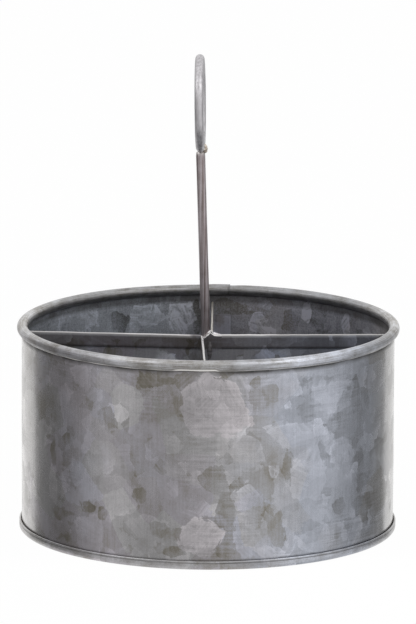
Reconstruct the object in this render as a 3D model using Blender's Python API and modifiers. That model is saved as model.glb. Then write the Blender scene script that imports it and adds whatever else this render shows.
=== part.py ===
"""Round cutlery caddy in galvanised sheet steel, with four compartments and a ring handle.

Metres, +Z up. The origin is the middle of the underside, on the surface that the caddy stands on.
+X is the caddy's right, -Y its front. The drum is one rolled sheet whose top edge is curled over a
wire and whose bottom edge is flanged. The base is a disc with a folded lip that hooks over that
flange. Two sheets, each bent into an L, make the cross of dividers. An upright rod is held
between their corners by weld beads, and a ring of bent rod is welded on its top.
"""

import math

import bmesh
import bpy
from mathutils import Vector

# Sheet and joints between pieces
SHEET = 0.0005           # thickness of every sheet
FIT_GAP = 0.0003         # clearance between pieces that rest on each other
HEM_SLIT = 0.00006       # slit left inside a folded edge

# Drum
RIM_DIAMETER = 0.200     # over the curled rim
RIM_HEIGHT = 0.1093      # top of the rim above the table
RIM_OVERHANG = 0.0028    # how far the curled rim stands out from the wall
BEAD_DIAMETER = 0.0055   # the curl, outside
NECK_BEND = 0.0015       # bend below the curl
CURL_END = -80           # degrees, where the curled edge stops under the bead
FOOT_BEND = 0.0005       # bend of the foot flange
FOOT_REACH = 0.0006      # how far the foot flange stands out from the wall

# Lapped side seam of the drum
SEAM_AZIMUTH = 83.2      # degrees from +X, so at the back, a little to the right
SEAM_WIDTH = 0.008
SEAM_SINK = 0.0001       # how deep the lap is let into the wall, so that the two are one sheet

# Base
LIP_HEIGHT = 0.0048
LIP_OVERHANG = 0.00145   # how far the folded lip stands out from the wall
LIP_CORNER = 0.0012      # rounding under the lip, to the sheet's middle
HOOK_HEIGHT = 0.0032     # how far the lip is folded back down

# Dividers
EDGE_DROP = 0.008        # the dividers' top edge below the top of the rim
HEM_HEIGHT = 0.0064
CORNER_BEND = 0.0034     # bend at the middle of each divider, to the sheet's middle
FLANGE_BEND = 0.0015     # bend of the end flanges, to the sheet's middle
FLANGE_LENGTH = 0.008
RIGHT_ARM = 1.3          # azimuths of the four arms, in degrees
BACK_ARM = 89.8
LEFT_ARM = 177.0
FRONT_ARM = -88.7
BACK_CORNER_SIDE = 10.0      # where each divider's corner lies, seen from the rod, in degrees
FRONT_CORNER_SIDE = -130.0
BACK_ARM_DROP = 0.0018   # the right and back divider's edge falls this much on its way to the back
LEFT_ARM_RISE = 0.0008   # the left and front divider's edge rises this much on its way to the left

# Handle
ROD_DIAMETER = 0.0048
ROD_PLACE = (-0.00125, 0.0033)
ROD_TOP = 0.1983
ROD_LEAN = 1.9           # degrees towards -X above the dividers
ROD_BEND = 0.006         # height over which the rod turns into its lean
RING_DIAMETER = 0.0508   # over the ring
RING_ROD = 0.0046
RING_TURN = 2.5          # degrees that the ring's front is turned towards -X
RING_LEAN = 0.85         # degrees towards -X
RING_SLIT = 1.6          # degrees left between the ring's two ends, at its foot

# Weld beads
RING_WELD = (0.0028, 0.0036, 0.0048)     # width, depth and height of the bead at the ring's foot
RING_WELD_OUT = 0.00028  # how far its middle lies outside the ring's right side
RING_WELD_RISE = 0.00168 # and above the rod's top
ROD_WELD = (0.0034, 0.0034, 0.012)       # the same sizes of the two beads that hold the rod
ROD_WELD_OUT = 0.00102   # how far their middles lie outside the rod
WELD_SINK = 0.0009       # how far the rod's weld beads stay below the dividers' edge
FRONT_WELD_SIDE = -62.0  # where the two beads lie, seen from the rod, in degrees
BACK_WELD_SIDE = 70.0

# Mesh resolution
TURNS = 72               # steps round the drum
CURL_STEPS = 14
BEND_STEPS = 4
RING_STEPS = 48
ROD_SIDES_LEVEL = 4      # bevel resolution of the rod and the ring
WIRE_SIDES = 8           # sides of the rim's wire
WELD_SEGMENTS = 16
MERGE_DISTANCE = 0.00002 # points closer than this are one

# Worked out from the sizes above
HALF_SHEET = SHEET / 2
HEM_SHIFT = SHEET + HEM_SLIT
BEAD_RADIUS = BEAD_DIAMETER / 2
CURL_RADIUS = BEAD_RADIUS - HALF_SHEET
WIRE_RADIUS = BEAD_RADIUS - SHEET - FIT_GAP
BEAD_CENTRE = Vector((RIM_DIAMETER / 2 - BEAD_RADIUS, RIM_HEIGHT - BEAD_RADIUS))
WALL_RADIUS = RIM_DIAMETER / 2 - RIM_OVERHANG    # to the wall's outer face
WALL_MIDDLE = WALL_RADIUS - HALF_SHEET
LIP_DIAMETER = 2 * (WALL_RADIUS + LIP_OVERHANG)
DIVIDER_TOP = RIM_HEIGHT - EDGE_DROP
FACET = math.cos(math.pi / TURNS)
FLANGE_RADIUS = (WALL_RADIUS - SHEET) * FACET - FIT_GAP - HALF_SHEET
FLOOR_TOP = SHEET + FIT_GAP
ROD_RADIUS = ROD_DIAMETER / 2


def polar(radius, degrees):
    angle = math.radians(degrees)
    return Vector((radius * math.cos(angle), radius * math.sin(angle)))


ROD_AXIS = Vector(ROD_PLACE)
BACK_CORNER = ROD_AXIS + polar(
    ROD_RADIUS + FIT_GAP + HEM_SHIFT + HALF_SHEET + CORNER_BEND, BACK_CORNER_SIDE
)
FRONT_CORNER = ROD_AXIS + polar(
    ROD_RADIUS + FIT_GAP + HALF_SHEET + CORNER_BEND, FRONT_CORNER_SIDE
)


def fresh_scene():
    """Empty the file and make one collection for the caddy and one for its cutters."""
    for obj in list(bpy.data.objects):
        bpy.data.objects.remove(obj, do_unlink=True)
    collections = []
    for name in ("cutlery_caddy", "cutters"):
        collection = bpy.data.collections.new(name)
        bpy.context.scene.collection.children.link(collection)
        collections.append(collection)
    return collections


CADDY, CUTTERS = fresh_scene()


def metal(name, colour, roughness, metallic=1.0):
    material = bpy.data.materials.new(name)
    material.use_nodes = True
    shader = material.node_tree.nodes["Principled BSDF"]
    shader.inputs["Base Color"].default_value = (*colour, 1.0)
    shader.inputs["Roughness"].default_value = roughness
    shader.inputs["Metallic"].default_value = metallic
    return material


def add_object(name, data, collection=None):
    obj = bpy.data.objects.new(name, data)
    (collection or CADDY).objects.link(obj)
    return obj


def finish(obj, material, sharp_angle=40):
    """Give a mesh object its one material and smooth shading that stops at sharp edges."""
    obj.data.materials.clear()
    obj.data.materials.append(material)
    if obj.type == "MESH":
        obj.data.shade_smooth()
        obj.data.set_sharp_from_angle(angle=math.radians(sharp_angle))
    return obj


def arc(centre, radius, start, end, steps):
    """Points of an arc in a plane, from one angle to another in degrees, both ends included."""
    return [centre + polar(radius, start + (end - start) * i / steps) for i in range(steps + 1)]


def profile_mesh(name, points):
    """An open outline in the XZ plane, its first point at the top of the outer side."""
    mesh = bpy.data.meshes.new(name)
    verts = [(p.x, 0.0, p.y) for p in points]
    mesh.from_pydata(verts, [(i, i + 1) for i in range(len(verts) - 1)], [])
    return mesh


def turn(obj, angle=360.0, steps=TURNS):
    screw = obj.modifiers.new("Turn", "SCREW")
    screw.angle = math.radians(angle)
    screw.steps = steps
    screw.render_steps = steps
    screw.use_merge_vertices = True
    screw.merge_threshold = MERGE_DISTANCE
    screw.use_smooth_shade = True
    return screw


def thicken(obj, thickness=SHEET):
    shell = obj.modifiers.new("Sheet", "SOLIDIFY")
    shell.thickness = thickness
    shell.offset = 0.0
    shell.use_even_offset = True
    return shell


def boolean(obj, other, operation):
    cut = obj.modifiers.new(other.name, "BOOLEAN")
    cut.operation = operation
    cut.solver = "EXACT"
    cut.object = other
    return cut


def as_cutter(obj):
    obj.hide_render = True
    obj.display_type = "WIRE"
    return obj


def drum_profile():
    """The drum sheet's middle line: round the curl, down the neck and the wall, out at the foot."""
    neck_x = WALL_MIDDLE - NECK_BEND
    across = BEAD_CENTRE.x - neck_x
    reach = NECK_BEND + CURL_RADIUS
    neck = Vector((neck_x, BEAD_CENTRE.y - math.sqrt(reach * reach - across * across)))
    towards_neck = neck - BEAD_CENTRE
    curl_start = math.degrees(math.atan2(towards_neck.y, towards_neck.x)) + 360.0
    points = arc(BEAD_CENTRE, CURL_RADIUS, CURL_END, curl_start, CURL_STEPS)
    points += arc(neck, NECK_BEND, curl_start - 180.0, 0.0, BEND_STEPS)[1:]
    foot = Vector((WALL_MIDDLE + FOOT_BEND, FLOOR_TOP + HALF_SHEET + FOOT_BEND))
    points += arc(foot, FOOT_BEND, 180.0, 270.0, BEND_STEPS)
    points.append(Vector((WALL_RADIUS + FOOT_REACH, foot.y - FOOT_BEND)))
    return points


def lap_strip():
    """The sheet's outer end where it laps over its other end, as a short turned strip."""
    middle = WALL_RADIUS + (SHEET - SEAM_SINK) / 2
    bottom = LIP_HEIGHT + 2 * FIT_GAP
    top = BEAD_CENTRE.y - BEAD_RADIUS - 2 * FIT_GAP
    width = math.degrees(SEAM_WIDTH / WALL_RADIUS)
    line = profile_mesh("lap_strip", [Vector((middle, top)), Vector((middle, bottom))])
    strip = add_object("lap_strip", line, CUTTERS)
    turn(strip, width, 2)
    thicken(strip, SHEET + SEAM_SINK)
    strip.rotation_euler.z = math.radians(SEAM_AZIMUTH - width / 2)
    return as_cutter(strip)


def drum_wall(material):
    wall = add_object("drum_wall", profile_mesh("drum_wall", drum_profile()))
    turn(wall)
    thicken(wall)
    boolean(wall, lap_strip(), "UNION")
    return finish(wall, material)


def rim_wire(material):
    """The wire that the rim is curled over, bent round and butted."""
    bpy.ops.mesh.primitive_torus_add(
        major_radius=BEAD_CENTRE.x,
        minor_radius=WIRE_RADIUS,
        major_segments=TURNS,
        minor_segments=WIRE_SIDES,
        location=(0, 0, BEAD_CENTRE.y),
    )
    wire = bpy.context.object
    wire.name = wire.data.name = "rim_wire"
    for collection in list(wire.users_collection):
        collection.objects.unlink(wire)
    CADDY.objects.link(wire)
    return finish(wire, material, 180)


def base_pan(material):
    """A disc whose lip stands up outside the wall and is folded back down over the foot flange."""
    lip = LIP_DIAMETER / 2 - HALF_SHEET
    fold = HEM_SHIFT / 2
    top = LIP_HEIGHT - HALF_SHEET - fold
    corner = Vector((lip - LIP_CORNER, HALF_SHEET + LIP_CORNER))
    points = [Vector((lip - HEM_SHIFT, LIP_HEIGHT - HOOK_HEIGHT))]
    points += arc(Vector((lip - fold, top)), fold, 180.0, 0.0, BEND_STEPS)
    points += arc(corner, LIP_CORNER, 0, -90, BEND_STEPS)
    points.append(Vector((0.0, HALF_SHEET)))
    pan = add_object("base_pan", profile_mesh("base_pan", points))
    turn(pan)
    thicken(pan)
    return finish(pan, material)


def arm_path(bend_centre, azimuth, flange_turn):
    """Plan points of one arm, from its corner bend out to the tip of its end flange.

    The arm is tangent to the corner bend on the side away from flange_turn, which is +1 where the
    flange turns to the left of the way out and -1 where it turns to the right.
    """
    out = polar(1.0, azimuth)
    left = polar(1.0, azimuth + 90.0)
    offset = bend_centre.dot(left) - flange_turn * CORNER_BEND
    bend_offset = offset + flange_turn * FLANGE_BEND
    reach = FLANGE_RADIUS - FLANGE_BEND
    bend_reach = math.sqrt(reach * reach - bend_offset * bend_offset)
    bend = out * bend_reach + left * bend_offset
    at = math.degrees(math.atan2(bend.y, bend.x))
    while at - azimuth > 180.0:
        at -= 360.0
    while azimuth - at > 180.0:
        at += 360.0
    points = [out * bend_centre.dot(out) + left * offset]
    points += arc(bend, FLANGE_BEND, azimuth - flange_turn * 90.0, at, BEND_STEPS)
    length = flange_turn * math.degrees(FLANGE_LENGTH / FLANGE_RADIUS)
    flange = arc(Vector((0.0, 0.0)), FLANGE_RADIUS, at, at + length, 2)
    return points, flange[1:]


def divider_path(bend_centre, first, second):
    """Plan points of a divider whose two arms leave its bend, first on the right of second.

    Returns the points and the first and last index of the stretch that carries the hem.
    """
    arm_a, flange_a = arm_path(bend_centre, first, 1)
    arm_b, flange_b = arm_path(bend_centre, second, -1)
    corner = arc(bend_centre, CORNER_BEND, first - 90.0, second - 270.0, 2 * BEND_STEPS)[1:-1]
    points = flange_a[::-1] + arm_a[::-1] + corner + arm_b + flange_b
    hem_start = len(flange_a) + BEND_STEPS
    hem_end = len(points) - 1 - len(flange_b) - BEND_STEPS
    return points, hem_start, hem_end


def normals(points):
    """Unit normals in plan at each point of a path, to the left of its direction."""
    result = []
    for i, point in enumerate(points):
        before = points[max(i - 1, 0)]
        after = points[min(i + 1, len(points) - 1)]
        along = (after - before).normalized()
        result.append(Vector((-along.y, along.x)))
    return result


def divider(name, material, bend_centre, first, second, hem_side, tilt):
    """A sheet bent into an L in plan, its top edge folded over, its ends flanged along the wall.

    hem_side is +1 where the hem lies inside the L and -1 where it lies outside. tilt is the
    azimuth towards which the top edge changes height, and how much it has changed at the wall.
    """
    points, hem_start, hem_end = divider_path(bend_centre, first, second)
    sideways = normals(points)
    fold = HEM_SHIFT / 2
    top = DIVIDER_TOP - HALF_SHEET
    rows = [(0.0, top - fold)]
    for i in range(1, BEND_STEPS):
        angle = math.pi * i / BEND_STEPS
        rows.append((fold - fold * math.cos(angle), top - fold + fold * math.sin(angle)))
    rows.append((HEM_SHIFT, top - fold))
    rows.append((HEM_SHIFT, DIVIDER_TOP - HEM_HEIGHT))
    sheet = bmesh.new()
    low = [sheet.verts.new((p.x, p.y, FLOOR_TOP)) for p in points]
    edges = [sheet.edges.new((low[i], low[i + 1])) for i in range(len(low) - 1)]

    def raise_row(row_edges, indices, verts, offset, height):
        made = bmesh.ops.extrude_edge_only(sheet, edges=row_edges)["geom"]
        new_verts = [v for v in made if isinstance(v, bmesh.types.BMVert)]
        row = {}
        for i in indices:
            old = verts[i]
            linked = {e.other_vert(old) for e in old.link_edges}
            new = next(v for v in new_verts if v in linked)
            spot = points[i] - sideways[i] * offset * hem_side
            new.co = (spot.x, spot.y, height)
            row[i] = new
        new_edges = [e for e in made if isinstance(e, bmesh.types.BMEdge)]
        between = [e for e in new_edges if e.verts[0] in row.values() and e.verts[1] in row.values()]
        return row, between

    row = {i: v for i, v in enumerate(low)}
    row, edges = raise_row(edges, range(len(points)), row, 0.0, DIVIDER_TOP - HEM_HEIGHT)
    hemmed = range(hem_start, hem_end + 1)
    chosen = {row[i] for i in hemmed}
    edges = [e for e in edges if e.verts[0] in chosen and e.verts[1] in chosen]
    for offset, height in rows:
        row, edges = raise_row(edges, hemmed, row, offset, height)
    tilt_way, tilt_rise = polar(1.0, tilt[0]), tilt[1]
    for v in sheet.verts:
        share = (v.co.z - FLOOR_TOP) / (DIVIDER_TOP - FLOOR_TOP)
        v.co.z += share * tilt_rise * v.co.xy.dot(tilt_way) / WALL_RADIUS
    mesh = bpy.data.meshes.new(name)
    sheet.to_mesh(mesh)
    sheet.free()
    obj = add_object(name, mesh)
    thicken(obj)
    return finish(obj, material)


def wire_object(name, points, radius, level, collection=None):
    """A straight or bent rod: a poly curve with a round bevel and filled ends."""
    curve = bpy.data.curves.new(name, "CURVE")
    curve.dimensions = "3D"
    curve.bevel_depth = radius
    curve.bevel_resolution = level
    curve.use_fill_caps = True
    spline = curve.splines.new("POLY")
    spline.points.add(len(points) - 1)
    for target, point in zip(spline.points, points):
        target.co = (*point, 1.0)
    return add_object(name, curve, collection)


def rod_points(low, high):
    """The rod's middle line: upright between the dividers, then leaning towards -X."""
    lean = math.radians(ROD_LEAN)
    bend_low = DIVIDER_TOP - ROD_BEND / 2
    points = [Vector((*ROD_AXIS, low)), Vector((*ROD_AXIS, bend_low))]
    for i in range(1, BEND_STEPS + 1):
        share = i / BEND_STEPS
        step = ROD_BEND / BEND_STEPS
        tilt = lean * (share - 0.5 / BEND_STEPS)
        points.append(points[-1] + Vector((-math.sin(tilt), 0.0, math.cos(tilt))) * step)
    rest = (high - points[-1].z) / math.cos(lean)
    points.append(points[-1] + Vector((-math.sin(lean), 0.0, math.cos(lean))) * rest)
    return points


def handle_rod(material):
    rod = wire_object("handle_rod", rod_points(FLOOR_TOP, ROD_TOP), ROD_RADIUS, ROD_SIDES_LEVEL)
    return finish(rod, material)


def ring_frame():
    """The ring's centre, its up direction and its direction towards the front."""
    lean = math.radians(RING_LEAN)
    turn_angle = math.radians(RING_TURN)
    up = Vector((-math.sin(lean), 0.0, math.cos(lean)))
    front = Vector((-math.sin(turn_angle), -math.cos(turn_angle), 0.0))
    front = (front - up * front.dot(up)).normalized()
    foot = rod_points(FLOOR_TOP, ROD_TOP)[-1]
    return foot + up * (RING_DIAMETER / 2 + FIT_GAP), up, front


def ring_points():
    """The ring's middle line, from one side of the slit at its foot round to the other."""
    centre, up, front = ring_frame()
    radius = (RING_DIAMETER - RING_ROD) / 2
    slit = math.radians(RING_SLIT)
    points = []
    for i in range(RING_STEPS + 1):
        angle = slit / 2 + (2 * math.pi - slit) * i / RING_STEPS
        points.append(centre - up * radius * math.cos(angle) - front * radius * math.sin(angle))
    return points


def handle_ring(material):
    ring = wire_object("handle_ring", ring_points(), RING_ROD / 2, ROD_SIDES_LEVEL)
    return finish(ring, material)


def wire_cutter(name, points, radius):
    """A rod as a closed mesh, to cut a weld bead round it."""
    curve = wire_object(name + "_curve", points, radius, ROD_SIDES_LEVEL, CUTTERS)
    bpy.context.view_layer.update()
    graph = bpy.context.evaluated_depsgraph_get()
    mesh = bpy.data.meshes.new_from_object(curve.evaluated_get(graph))
    welded = bmesh.new()
    welded.from_mesh(mesh)
    bmesh.ops.remove_doubles(welded, verts=welded.verts, dist=MERGE_DISTANCE)
    welded.to_mesh(mesh)
    welded.free()
    cutter = add_object(name, mesh, CUTTERS)
    cutter.matrix_world = curve.matrix_world.copy()
    bpy.data.objects.remove(curve, do_unlink=True)
    return as_cutter(cutter)


def weld_bead(name, material, centre, size):
    """A lump of weld metal: a ball drawn out to its width, depth and height."""
    lump = bmesh.new()
    bmesh.ops.create_uvsphere(
        lump, u_segments=WELD_SEGMENTS, v_segments=WELD_SEGMENTS // 2 + 2, radius=0.5
    )
    bmesh.ops.scale(lump, vec=Vector(size), verts=lump.verts)
    mesh = bpy.data.meshes.new(name)
    lump.to_mesh(mesh)
    lump.free()
    bead = add_object(name, mesh)
    bead.location = centre
    return finish(bead, material)


def ring_weld(material, rod_cutter, ring_cutter):
    """The bead that fills the corner between the ring's foot and the rod, on the right."""
    foot = rod_points(FLOOR_TOP, ROD_TOP)[-1]
    centre = foot + Vector((RING_ROD / 2 + RING_WELD_OUT, 0.0, RING_WELD_RISE))
    bead = weld_bead("ring_weld", material, centre, RING_WELD)
    boolean(bead, ring_cutter, "DIFFERENCE")
    boolean(bead, rod_cutter, "DIFFERENCE")
    return bead


def divider_cutter(name, bend_centre, first, second, reach):
    """A divider's plain sheet, thick enough to keep a weld bead clear of it."""
    points = divider_path(bend_centre, first, second)[0]
    sheet = bmesh.new()
    low = [sheet.verts.new((p.x, p.y, 0.0)) for p in points]
    edges = [sheet.edges.new((low[i], low[i + 1])) for i in range(len(low) - 1)]
    made = bmesh.ops.extrude_edge_only(sheet, edges=edges)["geom"]
    raised = [v for v in made if isinstance(v, bmesh.types.BMVert)]
    bmesh.ops.translate(sheet, vec=Vector((0.0, 0.0, 2 * DIVIDER_TOP)), verts=raised)
    mesh = bpy.data.meshes.new(name)
    sheet.to_mesh(mesh)
    sheet.free()
    cutter = add_object(name, mesh, CUTTERS)
    thicken(cutter, 2 * reach)
    return as_cutter(cutter)


def rod_weld(name, material, side, cutters):
    """A tall bead that fills the corner between the rod and a divider."""
    place = ROD_AXIS + polar(ROD_RADIUS + ROD_WELD_OUT, side)
    centre = Vector((place.x, place.y, DIVIDER_TOP - WELD_SINK - ROD_WELD[2] / 2))
    bead = weld_bead(name, material, centre, ROD_WELD)
    for cutter in cutters:
        boolean(bead, cutter, "DIFFERENCE")
    return bead


def build():
    zinc = metal("galvanised_sheet", (0.33, 0.33, 0.34), 0.38)
    zinc_dark = metal("galvanised_sheet_inside", (0.22, 0.22, 0.24), 0.42)
    rod_steel = metal("dull_steel_rod", (0.20, 0.18, 0.18), 0.45)
    weld_metal = metal("weld_metal", (0.42, 0.41, 0.40), 0.33)
    drum_wall(zinc)
    rim_wire(rod_steel)
    base_pan(zinc)
    back_l = (BACK_CORNER, RIGHT_ARM, BACK_ARM)
    front_l = (FRONT_CORNER, LEFT_ARM, FRONT_ARM + 360.0)
    divider("divider_right_back", zinc_dark, *back_l, -1, (90.0, -BACK_ARM_DROP))
    divider("divider_left_front", zinc_dark, *front_l, 1, (180.0, LEFT_ARM_RISE))
    handle_rod(rod_steel)
    handle_ring(rod_steel)
    long_rod = rod_points(FLOOR_TOP, ROD_TOP + FIT_GAP)
    rod_cutter = wire_cutter("rod_cutter", long_rod, ROD_RADIUS + FIT_GAP)
    ring_cutter = wire_cutter("ring_cutter", ring_points(), RING_ROD / 2 + FIT_GAP)
    ring_weld(weld_metal, rod_cutter, ring_cutter)
    cutters = (
        rod_cutter,
        divider_cutter("back_cutter", *back_l, HEM_SHIFT + HALF_SHEET + FIT_GAP),
        divider_cutter("front_cutter", *front_l, HALF_SHEET + FIT_GAP),
    )
    for name, side in (("rod_weld_front", FRONT_WELD_SIDE), ("rod_weld_back", BACK_WELD_SIDE)):
        rod_weld(name, weld_metal, side, cutters)


build()
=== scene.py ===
"""Looks of the round cutlery caddy in galvanised sheet steel, with four compartments and a ring handle.

Metres, +Z up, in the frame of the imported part. Each piece is a fine surface worked out with numpy, with
the marks of hand work: a rim that wanders, a cut edge that stands off the curl, folded edges that aren't
quite straight, and welds with their ripples. The zinc's crystals are procedural patterns on Object
coordinates.
"""

import cmath
import math

import bmesh
import bpy
import numpy as np
from mathutils import Matrix, Vector


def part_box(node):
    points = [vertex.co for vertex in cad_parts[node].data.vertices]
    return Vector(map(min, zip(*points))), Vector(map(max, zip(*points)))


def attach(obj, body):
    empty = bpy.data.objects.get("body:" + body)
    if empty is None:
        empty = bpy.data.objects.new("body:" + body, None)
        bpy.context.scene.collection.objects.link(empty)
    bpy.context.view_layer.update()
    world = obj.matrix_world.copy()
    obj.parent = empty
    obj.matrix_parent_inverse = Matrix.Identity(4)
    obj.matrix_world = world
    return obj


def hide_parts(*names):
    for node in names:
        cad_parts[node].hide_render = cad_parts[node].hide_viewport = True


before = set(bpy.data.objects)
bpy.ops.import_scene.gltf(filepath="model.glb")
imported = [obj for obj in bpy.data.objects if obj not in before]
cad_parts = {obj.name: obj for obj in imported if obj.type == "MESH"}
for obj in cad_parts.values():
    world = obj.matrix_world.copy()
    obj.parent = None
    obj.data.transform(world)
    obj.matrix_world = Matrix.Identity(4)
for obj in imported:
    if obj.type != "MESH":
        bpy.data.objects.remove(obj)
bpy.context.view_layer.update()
BODY = "root"

# Overall sizes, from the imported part
RIM_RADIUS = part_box("drum_wall")[1][0]
RIM_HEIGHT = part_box("drum_wall")[1][2]
LIP_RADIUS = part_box("base_pan")[1][0]
LIP_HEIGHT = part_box("base_pan")[1][2]
DIVIDER_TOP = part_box("divider_right_back")[1][2]
FLOOR_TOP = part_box("divider_right_back")[0][2]

# Sheet
ROUND_STEPS = 480        # steps round the drum and the base
SHARP_ANGLE = 35.0       # degrees from which an edge is left unsmoothed
SHEET = 0.0005
HEM_SLIT = 0.0001

# Drum
RIM_SLACK = 0.0003       # the rim stays this far inside the part's size, to leave room for its wander
RIM_OVERHANG = 0.0028
BEAD_DIAMETER = 0.0055
NECK_BEND = 0.0015
CURL_STOP = -53.0        # degrees, where the curl straightens into its cut edge
CUT_EDGE = 0.0012        # length of the straight part
LOOSE_EDGE = (258.0, 273.5)    # degrees between which the cut edge stands off, with its painted highlight stronger and less painted shade under it
DEEP_SHADE_END = (279.0, 291.0)    # degrees over which the deeper shade beyond that stretch fades
CREASE_SHARE = 0.047     # where the line of painted shade along the crease above the cut edge lies, along the sheet's width
FOOT_BEND = 0.0005
FOOT_REACH = 0.0006
SEAM_AZIMUTH = 83.2      # degrees, where the lap shows in the rim
SEAM_LAP = 4.7           # degrees
SEAM_RAMP = 5.0          # degrees over which the sheet steps over its other end
SEAM_STEP = 0.00028      # how far each layer leaves the wall's middle

# Base
LIP_CORNER = 0.0012
HOOK_HEIGHT = 0.0032
PINCH = 0.00014          # depth of the crease below the lip's fold

# Dividers
HEM_HEIGHT, LEFT_HEM_HEIGHT = 0.0072, 0.0074
RIGHT_LIFT, LEFT_LIFT = 0.0009, 0.0005    # how much higher the top edges stand than the CAD's
CORNER_BEND = 0.0034
FLANGE_BEND = 0.0015
FLANGE_LENGTH = 0.008
FIT_GAP = 0.0003
RIGHT_ARM, BACK_ARM, LEFT_ARM, FRONT_ARM = 2.2, 89.8, 177.0, 271.3
BACK_CORNER_SIDE, FRONT_CORNER_SIDE = 10.0, -143.0
BACK_ARM_DROP, LEFT_ARM_RISE = 0.0018, 0.0008

# Handle
ROD_RADIUS = 0.0024
ROD_PLACE = -0.00125 + 0.0033j    # x + iy, as in all plans below
ROD_TOP = 0.1983
ROD_LEAN = 1.9
ROD_BEND = 0.006
RING_DIAMETER = 0.0508
RING_ROD = 0.0046
RING_TURN, RING_LEAN, RING_SLIT, RING_SIDE = 1.5, 0.85, 1.6, 0.0001

# Welds
# Stations of the weld run at the corners: x, y, z and radius, in millimetres
WELD_RUN = ((-2.95, -13, 101.6, 0.3), (-2.8, -8, 101.8, 0.45), (-1.9, -2.5, 101.9, 0.5),
            (-1.05, 0.3, 102.1, 0.5), (0.2, 0.9, 103, 0.45), (1, 1.3, 103.8, 0.45), (2.4, 3, 102.4, 0.55),
            (3.3, 2, 101.9, 0.95), (4.6, 1.4, 101.9, 0.75), (6.3, 1.1, 102, 0.35))
# Plan of the sheet that closes the corner before the rod, and the height of its top over x, in millimetres
CLOSING_PLAN = ((-3.2, -5.2), (-2.5, -3.8), (-1.9, -2.3), (-1.4, -0.9), (-0.9, 0.1), (-0.1, 0.7), (0.8, 1),
                (2, 1.1), (3.5, 1), (5.5, 0.93), (7.2, 0.98))
CLOSING_TOP = ((-3.2, 101.5), (-1.9, 101.7), (-0.6, 102.1), (0.2, 102.6), (1, 103.4), (2, 102.6),
               (3.3, 101.8), (4.6, 101.7), (7.2, 101.7))
RING_BEAD = (0.0033, 0.0032, 0.0034)
RING_BEAD_PLACE = np.array((0.0013, -0.0045, 0.0026))    # from the rod's top

# The drum's main zinc crystals: azimuth, height, half width and half height in millimetres, and how
# much lighter, or where negative darker, they are than the zinc round them
OUTER_CRYSTALS = (
    (-87, 85, 19, 16, 1.0), (-92, 16, 12, 10, 1.0), (-119, 36, 11, 13, 0.5), (-129, 13, 11, 11, 0.6),
    (-125, 63, 11, 7, 0.5), (-104, 93, 4, 3, 0.5), (-107, 85, 2, 3, 0.6), (-60, 68, 14, 8, 0.9),
    (-58, 47, 13, 14, 0.9), (-47, 85, 14, 8, 0.6), (-47, 55, 5, 8, 0.8), (-39, 45, 3, 3, 1.2),
    (-32, 57, 7, 5, 0.7), (-32, 31, 7, 3, 0.7), (-78, 37, 8, 8, 0.8), (-77, 18, 11, 12, 0.8),
    (-70, 50, 3, 4, 1.2), (-78, 61, 9, 9, 0.6), (-37, 14, 5, 5, 0.9), (-55, 11, 12, 8, 0.6),
    (-67, 94, 11, 6, 0.7), (-129, 28, 5, 4, -1.5), (-124, 25, 3, 4, -1.2), (-111, 37, 4, 5, -0.9),
    (-138, 61, 4, 3, -1.3), (-103, 98, 5, 2, -0.7), (-100, 9, 8, 3, -1.0), (-105, 20, 6, 4, -0.6),
    (-123, 76, 4, 6, -0.7), (-146, 59, 5, 2, -0.6), (-141, 21, 9, 3, -0.6), (-42, 74, 12, 15, -0.8),
    (-73, 44, 7, 12, -0.7), (-69, 18, 5, 11, -0.7), (-57, 79, 10, 7, -0.4), (-76, 97, 3, 3, -1.0),
    (-77, 66, 5, 5, -0.6), (-33, 16, 4, 3, -1.0), (-46, 27, 5, 5, -0.8), (-88, 47, 8, 9, -0.8),
    (-75, 31, 5, 10, -0.9), (-84, 33, 6, 7, -0.8), (-71, 92, 5, 5, -0.9), (-65, 52, 3, 9, -0.8),
    (-36, 42, 4, 14, -0.8), (-49, 70, 5, 4, -0.7), (-72, 8, 8, 4, 0.9), (-112, 76, 5, 9, 0.5),
    (-116, 90, 7, 6, 0.5), (-110, 22, 9, 6, 0.4), (-102, 66, 7, 6, 0.5), (-134, 44, 4, 8, 0.4),
    (-133, 96, 7, 4, 0.7), (-103, 88, 4, 4, 0.9), (-126, 71, 7, 6, 0.5), (-145, 35, 4, 11, 0.9),
    (-139, 39, 4, 9, 0.8), (-121, 27, 3, 5, 0.9), (-106, 80, 12, 11, 0.35), (-121, 76, 3, 7, -0.9),
    (-145, 50, 3, 7, -1.0), (-135, 48, 10, 9, -0.5), (-143, 20, 4, 3, -1.1), (-34, 25, 10, 7, -0.8),
    (-38, 44, 4, 8, -0.7),
)
INNER_CRYSTALS = (
    (57, 97, 4, 5, 3.4), (75, 88, 4, 4, 2.3), (41, 95, 3, 7, 3.4), (99, 92, 8, 9, 2.1),
    (74, 93, 4, 2, 2.3), (71, 84, 5, 3, 2.2), (111, 93, 10, 8, 1.5), (119, 91, 5, 6, -1.7),
    (133, 96, 11, 7, 1.1), (141, 93, 8, 6, 0.8), (86, 97, 8, 5, -0.9), (63, 91, 6, 6, -1.0),
    # The last row is no crystal: a dark patch of painted shade on the back wall beside the rod.
    (93.5, 92, 3, 9, -2.0),
)

# Where along the front of the rim, from left to right, handling has left it duller or brighter
RIM_STAINS = tuple((place, (tone, tone, tone)) for place, tone in (
    (0.05, 0.80), (0.20, 0.80), (0.275, 1.0), (0.39, 0.97), (0.525, 0.92), (0.57, 0.68), (0.64, 0.68),
    (0.70, 0.93), (0.81, 0.90), (0.875, 0.74), (0.96, 0.58)))

# How light the dividers' folded top edges are painted, from left to right along them: a painted highlight
# where they catch the light
EDGE_HIGHLIGHT = tuple((place, (tone, 0.98 * tone, 0.97 * tone)) for place, tone in (
    (0.10, 0.52), (0.25, 0.56), (0.30, 0.70), (0.45, 0.70), (0.50, 0.80), (0.64, 0.80), (0.69, 0.50),
    (1.0, 0.47)))

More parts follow.
